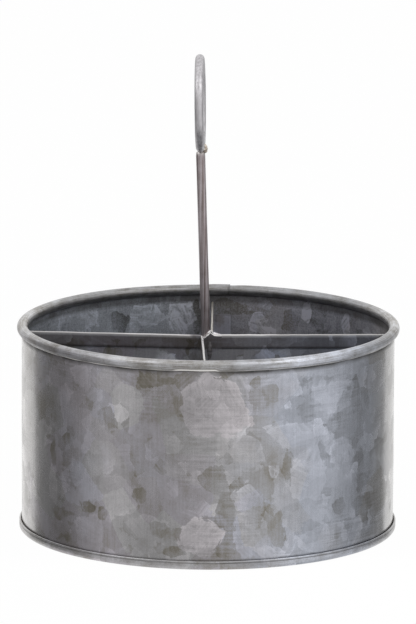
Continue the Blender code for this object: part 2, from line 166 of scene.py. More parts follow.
# Camera, from a fit to the photo's outline
CAMERA_DISTANCE = 3.5
CAMERA_ELEVATION = 0.2040    # radians
CAMERA_TURN = 0.0005
CAMERA_ROLL = 0.0049
CAMERA_SIDE = -0.0019
AIM_HEIGHT = 0.11415
FOCAL_PIXELS = 6720.3
PICTURE_HEIGHT = 624

# Studio
SKY_LIGHT = 0.55         # of the sky on the object, where the background's own white is 1
PAPER_GREY = 0.85
FLOOR_GLOW = 0.985       # the floor's share of plain white where it is seen
# Tone of the grey cards that the drum mirrors at each turn of its wall, in degrees from the camera's side
CARD_TONES = ((-67, 0.36), (-62, 0.29), (-50, 0.26), (-43, 0.40), (-37, 0.58), (-31, 0.76), (-22, 0.64),
              (-14, 0.62), (-7, 0.68), (2, 0.74), (10, 0.82), (22, 0.90), (35, 0.98), (41, 0.92), (48, 0.60),
              (57, 0.43), (70.5, 0.38))

# Worked out
HALF_SHEET = SHEET / 2
WALL_MIDDLE = RIM_RADIUS - RIM_OVERHANG - HALF_SHEET
BEAD_X = RIM_RADIUS - RIM_SLACK - BEAD_DIAMETER / 2
BEAD_Z = RIM_HEIGHT - BEAD_DIAMETER / 2
CURL_RADIUS = BEAD_DIAMETER / 2 - HALF_SHEET
FLANGE_RADIUS = WALL_MIDDLE - SHEET - FIT_GAP
HEM_SHIFT = SHEET + HEM_SLIT


# Small tools

def ease(start, end, x):
    """0 before start, 1 after end, and 3t^2 - 2t^3 of the way t between them."""
    t = np.clip((x - start) / (end - start), 0.0, 1.0)
    return t * t * (3.0 - 2.0 * t)


def wander(angle, height, seed, turns=7, rate=45.0):
    """Unevenness between about -1 and 1: eight waves, each of a whole number of turns round the
    drum times a slow wave up the height, added with random weights and phases."""
    luck = np.random.default_rng(seed)
    total = 0.0
    for _ in range(8):
        around = luck.integers(1, turns) * angle + luck.uniform(0, 2 * math.pi)
        upwards = luck.uniform(0.2, 1.0) * rate * height + luck.uniform(0, 2 * math.pi)
        total = total + luck.uniform(0.4, 1.0) * np.sin(around) * np.cos(upwards)
    return total / 3.0


def unit(vectors):
    """Each vector, whose parts lie along the last side, brought to length 1."""
    return vectors / np.linalg.norm(vectors, axis=-1, keepdims=True)


def standing(plan, height):
    """Points over the plan points x + iy."""
    return np.stack([plan.real, plan.imag, height], -1)


def right_of(line):
    """Unit vectors to the right of the way along a line of points x + iy."""
    along = np.gradient(line, axis=-1)
    return -1j * along / np.abs(along)


def towards(degrees):
    """The unit vector x + iy at an azimuth."""
    return np.exp(1j * np.radians(degrees))


def arc(centre, radius, start, end, count):
    """Points x + iy of an arc about a centre from one angle in degrees to another."""
    return centre + radius * towards(np.linspace(start, end, count))


def end_to_end(parts, rows):
    """Parts of a line in a row, each repeated for every row where it has only one."""
    return np.concatenate([np.broadcast_to(part, (rows, np.shape(part)[-1])) for part in parts], 1)


def put(name, data):
    """Puts a mesh, a lamp or a camera in the scene."""
    made = bpy.data.objects.new(name, data)
    bpy.context.scene.collection.objects.link(made)
    return made


def skin(name, points, material, closed=(False, True), caps=True, marks=None, kept=slice(None)):
    """Quads over the grid points[i, j], or over its kept quads only. closed says whether i and j
    run back to their start, and caps closes the two ends of an open i with one face each. marks are
    values kept at each point. Points that coincide are merged and all faces turned outwards."""
    shape = points.shape[:2]
    index = np.arange(shape[0] * shape[1]).reshape(shape)
    ends = index[[0, -1]]
    if closed[0]:
        index = np.concatenate([index, index[:1]], 0)
    if closed[1]:
        index = np.concatenate([index, index[:, :1]], 1)
    quads = np.stack([index[:-1, :-1], index[1:, :-1], index[1:, 1:], index[:-1, 1:]], -1)[kept]
    used, faces = np.unique(quads, return_inverse=True)
    faces = faces.reshape(-1, 4).tolist()
    if caps and not closed[0]:
        faces += [ends[0].tolist(), ends[1][::-1].tolist()]
    mesh = bpy.data.meshes.new(name)
    mesh.from_pydata(points.reshape(-1, 3)[used].tolist(), [], faces)
    for mark, values in (marks or {}).items():
        values = np.broadcast_to(values, shape).ravel()[used].astype(np.float32)
        mesh.attributes.new(mark, "FLOAT", "POINT").data.foreach_set("value", values)
    tidy = bmesh.new()
    tidy.from_mesh(mesh)
    bmesh.ops.remove_doubles(tidy, verts=tidy.verts, dist=1e-7)
    bmesh.ops.recalc_face_normals(tidy, faces=tidy.faces)
    tidy.to_mesh(mesh)
    tidy.free()
    mesh.materials.append(material)
    mesh.shade_smooth()
    mesh.set_sharp_from_angle(angle=math.radians(SHARP_ANGLE))
    return put(name, mesh)


def scattered(seed, count, start, end):
    """Crystals like the named ones for the part of the wall between two azimuths."""
    luck = np.random.default_rng(seed)
    half_width = luck.uniform(3.0, 13.0, count)
    rows = (luck.uniform(start, end, count), luck.uniform(4.0, 100.0, count), half_width,
            half_width * luck.uniform(0.6, 1.2, count), luck.choice((1.0, 0.8, 0.6, -0.5, -0.8), count))
    return list(zip(*rows))


def crystal_marks(crystals, azimuth, height, seed):
    """For light and for dark crystals, 1 plus how deep each point lies in the nearest, and that
    crystal's strength there. A crystal is a polygon of 4 to 6 sides, or 7 where it is large: with u
    and v the distances over its half sizes, the depth is 1 minus the largest (u cos a + v sin a) /
    reach of its sides, times the root of its size, so that all outlines come out about equally
    ragged. The strength falls off along a direction of its own. Large light crystals are rosy."""
    luck = np.random.default_rng(seed)
    found = {"rosy": 0.0}
    for mark, sign in (("light", 1), ("dark", -1)):
        deepest = np.full(np.broadcast(azimuth, height).shape, -1.0)
        strength, rosy = np.zeros_like(deepest), np.zeros_like(deepest)
        for place, level, half_width, half_height, tone in crystals:
            if tone * sign < 0:
                continue
            across = np.radians((azimuth - place + 180.0) % 360.0 - 180.0) * RIM_RADIUS * 1000.0 / half_width
            up = (height * 1000.0 - level) / half_height
            large = half_width >= 12 and tone >= 1.0
            sides = 7 if large else luck.integers(4, 7)
            turns = (np.arange(sides) + luck.uniform(-0.3, 0.3, sides)) * 2 * math.pi / sides
            turns = turns + luck.uniform(0, math.pi)
            reach = luck.uniform(0.75, 1.1, sides)
            past = [(across * math.cos(a) + up * math.sin(a)) / far for a, far in zip(turns, reach)]
            depth = (1.0 - np.max(past, axis=0)) * math.sqrt(min(half_width, half_height) / 8.0)
            nearer = depth > deepest
            deepest = np.where(nearer, depth, deepest)
            rosy = np.where(nearer, float(large), rosy)
            fall = np.clip(across * math.cos(turns[0]) + up * math.sin(turns[0]), -1.0, 1.0)
            strength = np.where(nearer, abs(tone) * (0.75 + 0.35 * fall), strength)
        found[mark] = 1.0 + deepest
        found[mark + "_strength"] = strength
        found["rosy"] = found["rosy"] + rosy
    return found


def belongs(made, node=None):
    """Puts a piece on the body, and in the place of a node where it has one."""
    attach(made, BODY)
    if node:
        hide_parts(node)


def thick_outline(line, round_end=True):
    """The closed outline of a sheet whose middle line is r + iz at each azimuth: the line moved
    half a thickness to its right and left, and a half circle round each end. Returns the outline,
    the share of the way along the line, from 0 to 1 and on the way back to 2, and the right sides."""
    right = right_of(line)
    side = HALF_SHEET * right
    share = np.linspace(0.0, 1.0, line.shape[1])
    turn = np.radians(np.linspace(0.0, 180.0, 6))
    end_turn = turn if round_end else turn[[0, -1]]
    start = line[:, :1] - side[:, :1] * np.exp(1j * turn)
    end = line[:, -1:] + side[:, -1:] * np.exp(1j * end_turn)
    outline = np.concatenate([start, (line + side)[:, 1:-1], end, (line - side)[:, -2:0:-1]], 1)
    share = np.concatenate([0 * turn, share[1:-1], np.ones(len(end_turn)), 2.0 - share[-2:0:-1]])
    return outline, share, right


# Finishes

class Nodes:
    """A tree whose nodes are added one by one; a socket given as an input is linked."""

    def __init__(self, owner):
        owner.use_nodes = True
        self.tree = owner.node_tree

    def add(self, kind, inputs=None, **settings):
        """Adds a shader node and returns its outputs."""
        made = self.tree.nodes.new("ShaderNode" + kind)
        for setting, value in settings.items():
            setattr(made, setting, value)
        for key, value in (inputs or {}).items():
            self.give(made.inputs[key], value)
        return made.outputs

    def give(self, socket, value):
        if isinstance(value, bpy.types.NodeSocket):
            self.tree.links.new(value, socket)
        elif socket.type == "RGBA":
            socket.default_value = (*value, 1.0)
        else:
            socket.default_value = value

    def math(self, operation, first, *others, **settings):
        """An operation on the first two values, then on what comes out and the third, and so on."""
        for other in others:
            first = self.add("Math", {0: first, 1: other}, operation=operation, **settings)[0]
        return first

    def plus(self, *values):
        return self.math("ADD", *values)

    def times(self, *values):
        return self.math("MULTIPLY", *values)

    def range(self, value, low, high, to_low=0.0, to_high=1.0):
        inputs = {0: value, 1: low, 2: high, 3: to_low, 4: to_high}
        return self.add("MapRange", inputs)[0]

    def mark(self, name):
        return self.add("Attribute", attribute_name=name)["Fac"]

    def show(self, shader):
        """Makes a shader the surface, in place of the one that a material starts with."""
        self.tree.nodes.remove(self.tree.nodes["Principled BSDF"])
        self.give(self.tree.nodes["Material Output"].inputs[0], shader)


class Finish(Nodes):
    """A material on the Principled shader, with the object's own coordinates."""

    def __init__(self, name):
        self.material = bpy.data.materials.new(name)
        super().__init__(self.material)
        self.place = self.add("TexCoord")["Object"]

    def set(self, **values):
        """Sets the shader's inputs; an underscore stands for the blank in an input's name."""
        for name, value in values.items():
            self.give(self.tree.nodes["Principled BSDF"].inputs[name.replace("_", " ")], value)

    def vector(self, operation, first, second):
        made = self.add("VectorMath", {0: first, 1: second}, operation=operation)
        return made["Value" if operation == "DOT_PRODUCT" else "Vector"]

    def joined(self, x, y):
        return self.add("CombineXYZ", {"X": x, "Y": y})[0]

    def stretched(self, across, up):
        """The place, with its level and its upright distances multiplied."""
        return self.vector("MULTIPLY", self.place, (across, across, up))

    def sway(self, noise, reach):
        """A noise's usual span, 0.3 to 0.7, laid out from -reach to reach."""
        return self.range(noise, 0.3, 0.7, -reach, reach)

    def blend(self, share, first, second, mode="MIX"):
        inputs = {0: share, 6: first, 7: second}
        return self.add("Mix", inputs, data_type="RGBA", blend_type=mode)[2]

    def tinted(self, colour, tint, share=1.0):
        return self.blend(share, colour, tint, "MULTIPLY")

    def lerp(self, share, first, second):
        return self.range(share, 0.0, 1.0, first, second)

    def noise(self, place, scale, detail=3.0, roughness=0.55, output="Fac"):
        inputs = {"Vector": place, "Scale": scale, "Detail": detail, "Roughness": roughness}
        return self.add("TexNoise", inputs)[output]

    def jittered(self, place, reach, scale, detail, roughness=0.55):
        """The place moved along each axis by a noise's colour, by half the reach at most."""
        colour = self.noise(self.place, scale, detail, roughness, "Color")
        shift = self.vector("SUBTRACT", colour, (0.5, 0.5, 0.5))
        shift = self.add("VectorMath", {0: shift, "Scale": reach}, operation="SCALE")
        return self.vector("ADD", place, shift["Vector"])

    def ramp(self, value, stops):
        made = self.add("ValToRGB", {0: value})[0]
        bar = made.node.color_ramp.elements
        while len(bar) < len(stops):
            bar.new(0.5)
        for stop, (position, colour) in zip(bar, stops):
            stop.position = position
            stop.color = (*colour, 1.0)
        return made

    def bump(self, height, strength, distance):
        inputs = {"Height": height, "Strength": strength, "Distance": distance}
        self.set(Normal=self.add("Bump", inputs)[0])

    def crystals(self, place, scale, shift, distance="MANHATTAN"):
        """Voronoi cells and three random numbers of each, for its tone, its pick and its gloss."""
        inputs = {"Vector": self.vector("ADD", place, shift), "Scale": scale}
        cells = self.add("TexVoronoi", inputs, distance=distance)
        return cells, *self.add("SeparateColor", {0: cells["Color"]})


def spangled_zinc(name, stops, lively=1.0):
    """Weathered zinc. Soft clouds of tone carry crystals with ragged outlines, which fade on one
    side and hold a feathered grain of their own direction; the named crystals come from the
    piece's marks. Over them lie an upright grain, level rubbing streaks and fine speckle."""
    f = Finish(name)
    f.x, f.y, z = f.add("SeparateXYZ", {0: f.place})
    inside = f.mark("inside")
    place = f.jittered(f.jittered(f.place, 0.0038, 150.0, 4.0, 0.6), 0.0012, 900.0, 2.0)
    _, large_tone, _, large_gloss = f.crystals(place, 48.0, (0.0, 0.0, 0.0), "EUCLIDEAN")
    medium_shift = (0.31, 0.12, 0.05)
    medium, medium_tone, medium_pick, medium_gloss = f.crystals(place, 88.0, medium_shift)
    _, small_tone, small_pick, small_gloss = f.crystals(place, 200.0, (0.07, 0.43, 0.21))
    picked = f.range(medium_pick, 0.40, 0.42)
    facing = f.vector("SUBTRACT", medium["Color"], (0.5, 0.5, 0.5))
    offset = f.vector("SUBTRACT", f.vector("ADD", place, medium_shift), medium["Position"])
    fade = f.range(f.vector("DOT_PRODUCT", offset, facing), -0.0016, 0.0022)
    along_grain = f.joined(f.times(f.vector("DOT_PRODUCT", f.place, facing), 1500.0), f.times(z, 120.0))
    feather = f.times(f.sway(f.noise(along_grain, 1.0, 2.0), 1.0), f.lerp(inside, 0.10, 0.22))
    clouds = f.noise(f.place, 26.0, 5.0, 0.62)
    chips = f.noise(f.place, 210.0, 3.0)
    outline = f.plus(f.lerp(small_gloss, -0.11, 0.11), f.sway(chips, 0.10))
    inwards = f.plus(f.mark("light"), outline)
    light = f.range(inwards, 1.0, 1.05)
    dark = f.range(f.plus(f.mark("dark"), outline), 1.0, 1.08)
    quiet = f.math("SUBTRACT", 1.0, f.times(f.math("MAXIMUM", light, dark), 0.7))
    shard = f.times(picked, fade, quiet)
    fleck = f.times(f.range(small_pick, 0.80, 0.83), quiet)
    rosy_light = f.times(light, f.mark("rosy"))
    light = f.times(light, f.mark("light_strength"))
    dark = f.times(dark, f.mark("dark_strength"))
    lit = f.plus(f.lerp(fade, 0.16, 0.22), f.range(inwards, 1.05, 1.3, 0.08, 0.0))
    tone = f.plus(0.5, f.range(clouds, 0.25, 0.75, -0.19, 0.19),
                  f.lerp(large_tone, -0.07 * lively, 0.07 * lively),
                  f.times(shard, f.lerp(medium_tone, -0.17 * lively, 0.25 * lively)),
                  f.times(fleck, f.lerp(small_tone, -0.13, 0.12)),
                  f.times(light, lit), f.times(dark, -0.24))
    upright = f.noise(f.stretched(1.0, 0.05), 1000.0, 2.0)
    level = f.noise(f.stretched(0.05, 1.0), 900.0, 3.0)
    rubbed = f.range(f.noise(f.place, 34.0, 1.0), 0.50, 0.62)
    speckle = f.noise(f.place, 1300.0, 2.0)
    tone = f.plus(tone, f.sway(upright, 0.04), f.times(f.sway(speckle, 0.045), f.lerp(inside, 1.0, 3.4)),
                  f.times(rubbed, f.sway(level, 0.10)), f.times(f.math("MAXIMUM", shard, light), feather))
    gloss = f.lerp(picked, large_gloss, medium_gloss)
    f.rough = f.plus(f.lerp(gloss, 0.20, 0.32), f.range(speckle, 0.3, 0.7, -0.02, 0.03))

    cool = f.plus(f.range(f.x, 0.0, 0.055), f.lerp(large_gloss, -0.35, 0.35), f.sway(clouds, 0.3))
    blue_tone = f.plus(tone, f.range(f.x, 0.035, 0.06, 0.0, 0.5))
    bluish = f.blend(f.range(blue_tone, 0.25, 0.6), (1.04, 1.0, 0.90), (0.913, 0.972, 1.10))
    rosy = f.blend(f.range(large_gloss, 0.35, 0.65), (1.0, 0.99, 1.005), (1.025, 0.97, 1.035))
    rosy = f.blend(f.range(tone, 0.2, 0.45), (1.06, 1.0, 0.87), rosy)
    # Near the drum's two sides, where its reflection runs in bright strips, the colour is painted warm, and
    # lighter on the left, as a painted reflection.
    strip = f.range(f.math("ABSOLUTE", f.x, 0.0), 0.084, 0.097)
    warm = f.blend(f.range(f.x, -0.05, 0.05), (1.12, 1.08, 1.03), (1.0, 0.97, 0.92))
    tint = f.blend(strip, f.blend(f.range(cool, 0.0, 1.0), rosy, bluish), warm)
    tint = f.blend(rosy_light, tint, (1.10, 1.06, 1.095))
    f.plain = f.ramp(tone, stops)
    f.colour = f.tinted(f.plain, tint)
    f.tone, f.speckle, f.upright, f.chips, f.inside = tone, speckle, upright, chips, inside
    return f


def sheet_zinc():
    """The drum's and base's finish: spangled zinc under a thin clear wax, a streaked satin on the curled rim,
    duller inside, painted shade with some dirt in the crevices of the rim and the lip, and painted shade and
    highlights on the rim."""
    f = spangled_zinc("weathered_spangled_zinc", (
        (0.0, (0.095, 0.090, 0.082)), (0.25, (0.20, 0.194, 0.186)), (0.5, (0.345, 0.342, 0.342)),
        (0.75, (0.49, 0.482, 0.485)), (1.0, (0.65, 0.64, 0.645))), 1.05)
    along = f.joined(f.times(f.mark("around"), 60.0), f.times(f.mark("across"), 1000.0))
    streak = f.noise(along, 1.0, 4.0, 0.6)
    stain = f.noise(f.place, 75.0, 4.0)
    satin_tone = f.plus(f.range(streak, 0.3, 0.7, 0.04, 0.92), f.range(stain, 0.3, 0.7, -0.12, 0.38),
                        f.sway(f.chips, 0.16), f.sway(f.speckle, 0.1))
    satin = f.ramp(satin_tone, ((0.0, (0.16, 0.145, 0.125)), (0.35, (0.30, 0.288, 0.272)),
                                (0.65, (0.46, 0.458, 0.465)), (1.0, (0.62, 0.63, 0.655))))
    handled = f.tinted(f.ramp(f.range(f.x, -0.1, 0.1), RIM_STAINS), (1.08, 1.08, 1.08))
    # Tints on the rim's satin: its back painted darker as shade, its front right painted lighter and bluer as
    # a highlight, the curl's outer face on the left painted darker as shade, its two sides painted lighter as
    # a highlight, and the front given its stains.
    for tint, share in (
        ((0.73, 0.73, 0.725), f.range(f.y, 0.02, 0.09)),
        ((1.24, 1.28, 1.37), f.times(f.range(f.x, 0.01, 0.05), f.range(f.y, 0.0, -0.05))),
        ((0.80, 0.79, 0.81), f.times(f.mark("face"), f.range(f.x, -0.015, -0.07))),
        ((1.22, 1.21, 1.19), f.range(f.math("ABSOLUTE", f.x, 0.0), 0.076, 0.093)),
        (handled, f.range(f.y, 0.0, -0.03))
    ):
        satin = f.tinted(satin, tint, share)

    bead, bright = f.mark("bead"), f.mark("bright")
    colour = f.blend(f.times(bead, 0.85), f.colour, satin)
    left_inside = f.tinted(f.plain, (0.885, 0.955, 1.06))
    right_inside = f.tinted(f.colour, (0.85, 0.82, 0.82))
    colour = f.blend(f.inside, colour, f.blend(f.range(f.x, -0.03, 0.04), left_inside, right_inside))
    # Painted shade with some dirt, mottled by the stains, nearly black.
    painted_shade_and_dirt = f.times(f.mark("painted_shade_and_dirt"), f.range(stain, 0.3, 0.6, 0.55, 1.0))
    colour = f.blend(painted_shade_and_dirt, colour, (0.035, 0.032, 0.028))
    rough = f.lerp(f.inside, f.lerp(bead, f.rough, 0.46), 0.55)
    # Where the bright mark lies, the cut edge is painted lighter and made less metallic, as a painted
    # highlight.
    f.set(Base_Color=f.blend(bright, colour, (0.86, 0.84, 0.81)), Roughness=f.lerp(painted_shade_and_dirt, rough, 0.7),
          Metallic=f.lerp(bright, f.lerp(f.inside, 1.0, 0.45), 0.25),
          Coat_Weight=f.lerp(f.math("MAXIMUM", bead, f.inside), 0.5, 0.2), Coat_Roughness=0.12)
    f.bump(f.plus(f.times(f.tone, 0.5), f.times(f.speckle, 0.35), f.times(f.upright, 0.15),
                  f.times(streak, 0.2)), 0.45, 0.00014)
    return f.material


def divider_zinc():
    """The dividers' finish: the same zinc, dull, darker on the hem, with a painted shadow under the hem,
    flanges painted lighter against their shade, and top edges painted lighter as a highlight.
    """
    f = spangled_zinc("dull_spangled_zinc", (
        (0.0, (0.10, 0.092, 0.085)), (0.3, (0.19, 0.188, 0.195)), (0.6, (0.325, 0.33, 0.35)),
        (0.85, (0.49, 0.50, 0.54)), (1.0, (0.62, 0.635, 0.68))), 1.9)
    edge = f.mark("edge")
    colour = f.tinted(f.colour, (0.50, 0.48, 0.47), f.mark("hem"))
    # The flanges are painted lighter, against the shade that falls on them next to the wall.
    colour = f.tinted(colour, (1.35, 1.35, 1.35), f.mark("flange"))
    # The painted shadow under the hem, nearly black.
    colour = f.blend(f.mark("painted_shade_and_dirt"), colour, (0.04, 0.036, 0.032))
    # The folded top edges are painted lighter as a highlight: along x by EDGE_HIGHLIGHT, and further back on
    # the back arm in a fixed duller tone.
    worn = f.ramp(f.range(f.x, -0.1, 0.1), EDGE_HIGHLIGHT)
    worn = f.blend(f.range(f.y, 0.006, 0.012), worn, (0.52, 0.49, 0.44))
    f.set(Base_Color=f.blend(edge, colour, worn), Roughness=f.lerp(edge, 0.52, 0.35),
          Metallic=f.lerp(edge, 0.45, 0.7))
    f.bump(f.plus(f.times(f.tone, 0.5), f.times(f.speckle, 0.4)), 0.3, 0.00012)
    return f.material


def drawn_steel(name, dark, light, rough, metallic=1.0):
    """Drawn rod: long streaks along the rod and a fine grain across, its cut ends lighter, and its sides
    painted darker as shade, as much as its side mark asks.
    """
    f = Finish(name)
    along = f.noise(f.stretched(1.0, 0.02), 800.0, 3.0)
    patches = f.noise(f.place, 140.0, 4.0)
    grain = f.noise(f.place, 2400.0, 2.0)
    tone = f.plus(f.range(along, 0.32, 0.68, -0.15, 0.85), f.range(patches, 0.3, 0.7, 0.0, 0.3),
                  f.sway(grain, 0.08))
    drawn = f.blend(f.mark("side"), f.ramp(tone, ((0.0, dark), (1.0, light))), (0.15, 0.145, 0.15))
    f.set(Base_Color=f.blend(f.mark("end"), drawn, (0.52, 0.49, 0.48)), Metallic=metallic,
          Roughness=f.range(patches, 0.3, 0.7, rough - 0.05, rough + 0.07))
    f.bump(f.times(f.plus(along, grain), 0.5), 0.3, 0.0001)
    return f.material


def weld_metal(name, clean, stained, burnt, rough):
    """Weld beads: cast metal with heat stains in patches and small pits."""
    f = Finish(name)
    heat = f.range(f.noise(f.place, 420.0, 4.0), 0.35, 0.65)
    f.set(Base_Color=f.ramp(heat, ((0.0, clean), (0.55, stained), (1.0, burnt))),
          Roughness=f.lerp(heat, rough, rough + 0.2), Metallic=1.0)
    f.bump(f.noise(f.place, 1500.0, 3.0), 0.5, 0.0002)
    return f.material


# Pieces

def drum_wall(material):
    """The rolled sheet. At each azimuth its middle line r + iz is an arc round the wire with a
    straight cut edge, an arc back into the neck, the wall, and an arc out at the foot. The sheet
    starts and ends at the lap, where one end steps in and the other steps out of the wall's middle."""
    azimuth = np.linspace(SEAM_AZIMUTH, SEAM_AZIMUTH + 360.0 + SEAM_LAP, ROUND_STEPS)[:, None]
    angle = np.radians(azimuth)
    loose_start, loose_end = LOOSE_EDGE
    loose = ease(loose_start, loose_start + 4.0, azimuth) * (1.0 - ease(loose_end - 1.5, loose_end, azimuth))

    neck_x = WALL_MIDDLE - NECK_BEND
    neck_z = BEAD_Z - math.sqrt((NECK_BEND + CURL_RADIUS) ** 2 - (BEAD_X - neck_x) ** 2)
    joins = math.degrees(math.atan2(neck_z - BEAD_Z, neck_x - BEAD_X)) + 360.0
    stop = CURL_STOP + 5.0 * wander(angle, 0.0, 11, 24) + 20.0 * loose
    curl = np.radians(stop + (joins - stop) * np.linspace(0.0, 1.0, 26)[None, :])
    curl = complex(BEAD_X, BEAD_Z) + CURL_RADIUS * np.exp(1j * curl)
    edge = CUT_EDGE + 0.00022 * wander(angle, 0.0, 12, 40) + 0.0001 * wander(angle, 0.0, 13, 90)
    edge = curl[:, :1] - 1j * edge * np.linspace(1.0, 0.0, 5)[None, :-1] * towards(stop)
    neck = arc(complex(neck_x, neck_z), NECK_BEND, joins - 180.0, 0.0, 8)[1:]
    foot_z = FLOOR_TOP + HALF_SHEET + FOOT_BEND
    wall = WALL_MIDDLE + 1j * np.linspace(neck_z, foot_z, 50)[1:-1]
    foot = arc(complex(WALL_MIDDLE + FOOT_BEND, foot_z), FOOT_BEND, 180.0, 270.0, 6)
    tip = [complex(WALL_MIDDLE + HALF_SHEET + FOOT_REACH, foot_z - FOOT_BEND)]
    line = end_to_end((edge, curl, neck, wall, foot, tip), ROUND_STEPS)
    upper = ease(0.02, 0.10, line.imag)
    free = ease(LIP_HEIGHT, LIP_HEIGHT + 0.03, line.imag)
    out = free * 0.00010 * wander(angle, line.imag, 3, 9, 70.0) + upper * 0.00008 * wander(angle, 0.0, 4, 5)
    up = upper * (0.00022 * wander(angle, 0.0, 5, 6) - 0.0002)
    line = line + out + 1j * up

    away = azimuth - SEAM_AZIMUTH
    step = 1.0 - ease(SEAM_LAP, SEAM_LAP + SEAM_RAMP, away) - ease(360.0 - SEAM_RAMP, 360.0, away)
    loop, share, right = thick_outline(line)
    on_line = np.linspace(0.0, 1.0, line.shape[1])
    right = np.stack([np.interp(1.0 - np.abs(1.0 - share), on_line, row) for row in right])
    loop = loop + SEAM_STEP * step * right
    loop_z = loop.imag

    # The share's first half is the curl's outer side and the wall's inner side
    share = share[None, :] + 0 * angle
    first_side = share < 1.0
    bead_end = 27.0 / line.shape[1]
    inside = np.where(first_side, ease(bead_end, bead_end + 0.09, share), 0.0)
    bead = first_side - inside
    deep = ease(loose_end - 0.5, loose_end, azimuth) * (1.0 - ease(*DEEP_SHADE_END, azimuth))
    # Painted shade, with some dirt, on the outer wall in the gap under the rim's cut edge: less where the
    # edge stands off, and lower past that stretch.
    under_rim = ease(-0.0010, 0.0, loop_z - BEAD_Z + 0.0037 + 0.0007 * deep) * (1.0 - 0.6 * loose)
    # Painted shade on the outer wall in the crevice just above the lip.
    above_lip = 1.0 - ease(LIP_HEIGHT - 0.0002, LIP_HEIGHT + 0.0009, loop_z)
    # A thin dark line on the rim along the lap.
    at_seam = 0.4 * np.exp(-(np.minimum(away, 360.0 + SEAM_LAP - away) / 0.5) ** 2)
    # A line of painted shade along the crease where the curl meets the straight cut edge.
    crease = np.exp(-((share - CREASE_SHARE) / 0.006) ** 2) * (0.26 + 0.24 * wander(angle, 0.0, 17, 20))
    # Painted shade under the rim inside the drum: on the bead's inner side, and down the neck and the top of
    # the inner wall.
    shaded = 0.26 * ease(0.195, 0.245, share) + 0.5 * ease(bead_end, 0.36, share)
    shaded = shaded * first_side * ease(BEAD_Z - 0.0069, BEAD_Z - 0.0059, loop_z)
    painted_shade_and_dirt = ~first_side * (0.95 * under_rim + 0.7 * above_lip) + (at_seam + crease) * bead + shaded
    # A painted highlight along the cut edge, stronger where the edge stands off.
    cut = np.clip(0.6 + 0.8 * wander(angle, 0.0, 14, 40) + loose, 0.15, 1.0) * (share < 0.034)
    marks = {"bead": bead, "inside": inside, "painted_shade_and_dirt": np.clip(painted_shade_and_dirt, 0.0, 1.0), "bright": cut,
             "face": first_side * (1.0 - ease(0.10, 0.165, share)), "around": RIM_RADIUS * angle,
             "across": 0.13 * share}
    front = OUTER_CRYSTALS + tuple(scattered(7, 60, -30.0, 210.0))
    back = INNER_CRYSTALS + tuple(scattered(8, 50, 140.0, 390.0))
    outside_marks = crystal_marks(front, azimuth, loop_z, 15)
    inside_marks = crystal_marks(back, azimuth, loop_z, 16)
    for mark, outer in outside_marks.items():
        marks[mark] = np.where(first_side, inside_marks[mark], outer)
    points = standing(loop.real * np.exp(1j * angle), loop_z)
    return skin("drum_wall_sheet", points, material, marks=marks)


def base_pan(material):
    """The base, turned: its middle line r + iz starts inside the lip, folds over the top, is creased
    below the fold, rounds the corner and runs to the middle, where it is crowned a little."""
    angle = np.radians(np.linspace(0.0, 360.0, ROUND_STEPS, endpoint=False))[:, None]
    fold = HEM_SHIFT / 2
    lip = LIP_RADIUS - HALF_SHEET - 0.0001
    top = LIP_HEIGHT - HALF_SHEET - fold - 0.0001
    hook = lip - HEM_SHIFT + 1j * np.linspace(LIP_HEIGHT - HOOK_HEIGHT, top, 5)[:-1]
    over = arc(complex(lip - fold, top), fold, 180.0, 0.0, 10)
    down = np.linspace(top, HALF_SHEET + LIP_CORNER, 12)[1:]
    down = lip - PINCH * np.exp(-((down - (top - 0.0006)) / 0.00022) ** 2) + 1j * down
    corner = arc(complex(lip - LIP_CORNER, HALF_SHEET + LIP_CORNER), LIP_CORNER, 0.0, -90.0, 8)[1:]
    flat = np.linspace(lip - LIP_CORNER, 0.0, 24)[1:]
    flat = flat + 1j * (HALF_SHEET + 0.00025 * ease(0.0, 1.0, 1.0 - flat / lip))
    line = end_to_end((hook, over, down, corner, flat), ROUND_STEPS)
    at_lip = ease(0.090, lip - LIP_CORNER, line.real) * ease(0.0006, 0.003, line.imag)
    up = 0.00012 * wander(angle, 0.0, 22, 14) - 0.00008
    line = line + at_lip * (0.00008 * wander(angle, 0.0, 21, 12) + 1j * up)
    loop, share, _ = thick_outline(line, round_end=False)
    loop_r, loop_z = np.maximum(loop.real, 0.0), loop.imag
    # Painted shade along the crease below the lip's fold.
    crease = np.exp(-((loop_z - (top - 0.0006)) / 0.00025) ** 2) * (loop_r > lip - 0.0002)
    marks = {"bead": 0.6 * ease(0.001, 0.002, loop_z), "painted_shade_and_dirt": 0.8 * crease,
             "inside": ease(LIP_RADIUS - 0.003, LIP_RADIUS - 0.004, loop_r),
             "around": RIM_RADIUS * angle, "across": 0.1 * share[None, :]}
    points = standing(loop_r * np.exp(1j * angle), loop_z)
    return skin("base_pan_sheet", points, material, closed=(True, True), marks=marks)


def arm_points(bend_centre, azimuth, flange_side):
    """Plan points of a divider's arm, tangent to its corner bend, and of its end flange on the wall,
    worked out with the arm along x. flange_side is 1 for a flange to the left of the way out, else -1."""
    centre = bend_centre / towards(azimuth)
    offset = centre.imag - flange_side * CORNER_BEND
    bend_offset = offset + flange_side * FLANGE_BEND
    reach = FLANGE_RADIUS - FLANGE_BEND
    bend = complex(math.sqrt(reach ** 2 - bend_offset ** 2), bend_offset)
    at = math.degrees(cmath.phase(bend))
    turned = arc(bend, FLANGE_BEND, -flange_side * 90.0, at, 7)
    start = complex(centre.real, offset)
    straight = start + (turned[0] - start) * np.linspace(0.0, 1.0, 46)[:-1]
    flange = arc(0.0, FLANGE_RADIUS, at, at + flange_side * math.degrees(FLANGE_LENGTH / FLANGE_RADIUS), 8)
    return np.concatenate([straight, turned]) * towards(azimuth), flange[1:] * towards(azimuth)


